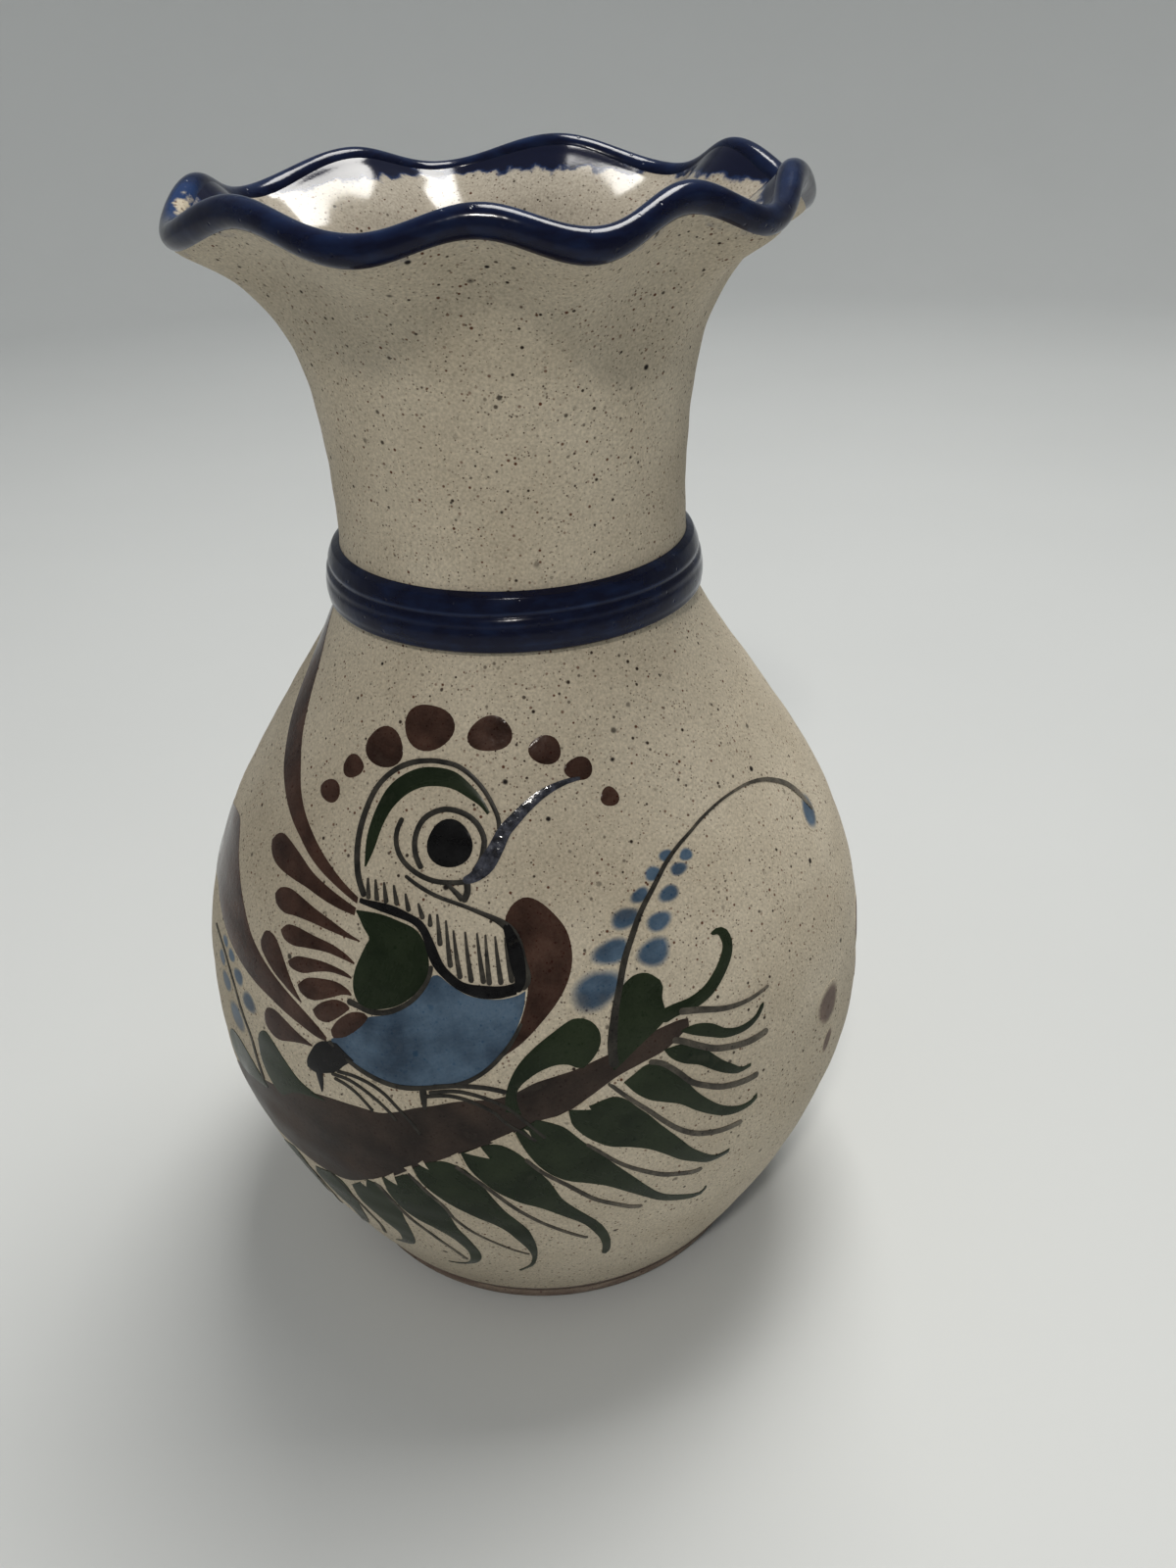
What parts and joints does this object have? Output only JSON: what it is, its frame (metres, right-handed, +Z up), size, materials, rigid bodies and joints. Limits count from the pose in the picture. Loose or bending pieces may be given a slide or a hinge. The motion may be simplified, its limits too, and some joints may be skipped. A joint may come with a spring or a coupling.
{
  "type": "pottery vase",
  "caption": "Full-bellied stoneware vase with an applied neck collar and a flared mouth pinched into waves, open from the mouth to the floor.",
  "frame": {"origin": "middle of the foot ring's underside, on the surface the vase stands on", "axes": "+Z up along the axis of the pot, -Y towards the painted bird on the front, +X to the right of it"},
  "size_m": [0.1456, 0.1456, 0.2294],
  "materials": {
    "speckled_clay": "burnished stoneware clay with fine iron specks, dry matte outside and clear glazed inside",
    "cobalt_glaze": "thick glossy cobalt glaze, nearly black",
    "brown_slip": "iron-brown slip, semi-gloss",
    "green_slip": "dark copper-green slip, semi-gloss",
    "blue_slip": "soft cobalt-blue wash, semi-gloss",
    "ink_slip": "dark grey brush line, semi-gloss"
  },
  "bodies": {
    "root": {"foot_ring": "brown_slip", "floor_disc": "speckled_clay", "lower_bowl": "speckled_clay", "shoulder": "speckled_clay", "neck": "speckled_clay", "ruffled_mouth": "speckled_clay", "collar_lower_band": "cobalt_glaze", "collar_upper_band": "cobalt_glaze", "rim_bead": "cobalt_glaze"}
  },
  "joints": []
}
